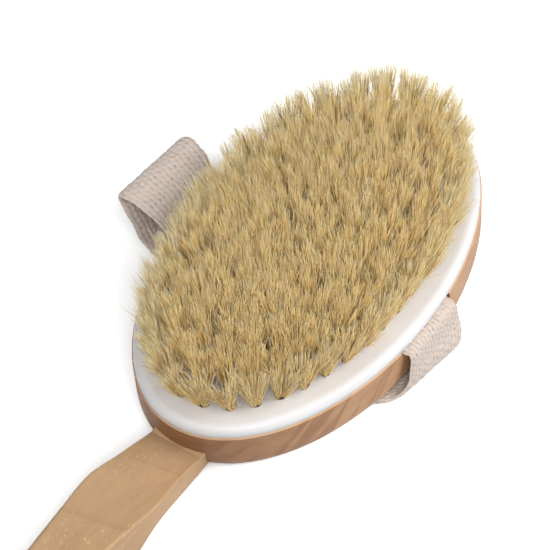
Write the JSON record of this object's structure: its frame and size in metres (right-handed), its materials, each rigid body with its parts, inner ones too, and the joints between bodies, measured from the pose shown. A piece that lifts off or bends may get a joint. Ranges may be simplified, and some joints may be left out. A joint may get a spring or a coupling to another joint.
{
  "type": "body dry brush",
  "caption": "Oval wooden body brush with natural bristle tufts in a white plate, a webbing hand strap round the head and a pull-out wooden handle with a hanging cord.",
  "frame": {"origin": "on the resting plane, on the underside of the hand strap, below the centre of the oval head", "axes": "+X from the handle to the far end of the head, along the brush; +Z along the bristles, away from the resting plane"},
  "size_m": [0.4654, 0.1068, 0.0381],
  "materials": {
    "head_wood": "satin lacquered beech",
    "handle_wood": "sanded pale hardwood",
    "plate_plastic": "satin milky white moulding",
    "bristle_fibre": "natural cream fibre bundles",
    "strap_webbing": "undyed cotton webbing",
    "cord_cotton": "twisted undyed cotton cord",
    "anchor_wire": "drawn flat wire",
    "brad_steel": "zinc plated",
    "staple_steel": "galvanised wire"
  },
  "bodies": {
    "head": {"head_body": "head_wood", "bristle_plate": "plate_plastic", "tuft_anchors": "anchor_wire", "plate_brads": "brad_steel", "strap_staples": "staple_steel", "strap_left_end": "strap_webbing", "strap_right_end": "strap_webbing", "tufts_ring_1": "bristle_fibre", "tufts_ring_2": "bristle_fibre", "tufts_ring_3": "bristle_fibre", "tufts_ring_4": "bristle_fibre", "tufts_ring_5": "bristle_fibre"},
    "strap": {"strap_middle": "strap_webbing"},
    "handle": {"handle": "handle_wood"},
    "cord": {"hanging_cord": "cord_cotton"}
  },
  "joints": [
    {"name": "handle_pull", "type": "slide", "parent": "head", "child": "handle", "axis": [-1, 0, 0], "range_m": [0, 0.045]},
    {"name": "strap_lift", "type": "slide", "parent": "head", "child": "strap", "axis": [0, 0, -1], "range_m": [0, 0.02]},
    {"name": "cord_swing", "type": "hinge", "parent": "handle", "child": "cord", "pos_m": [-0.317, 0, 0.008], "axis": [0, 0, 1], "range_deg": [-60, 60]}
  ]
}
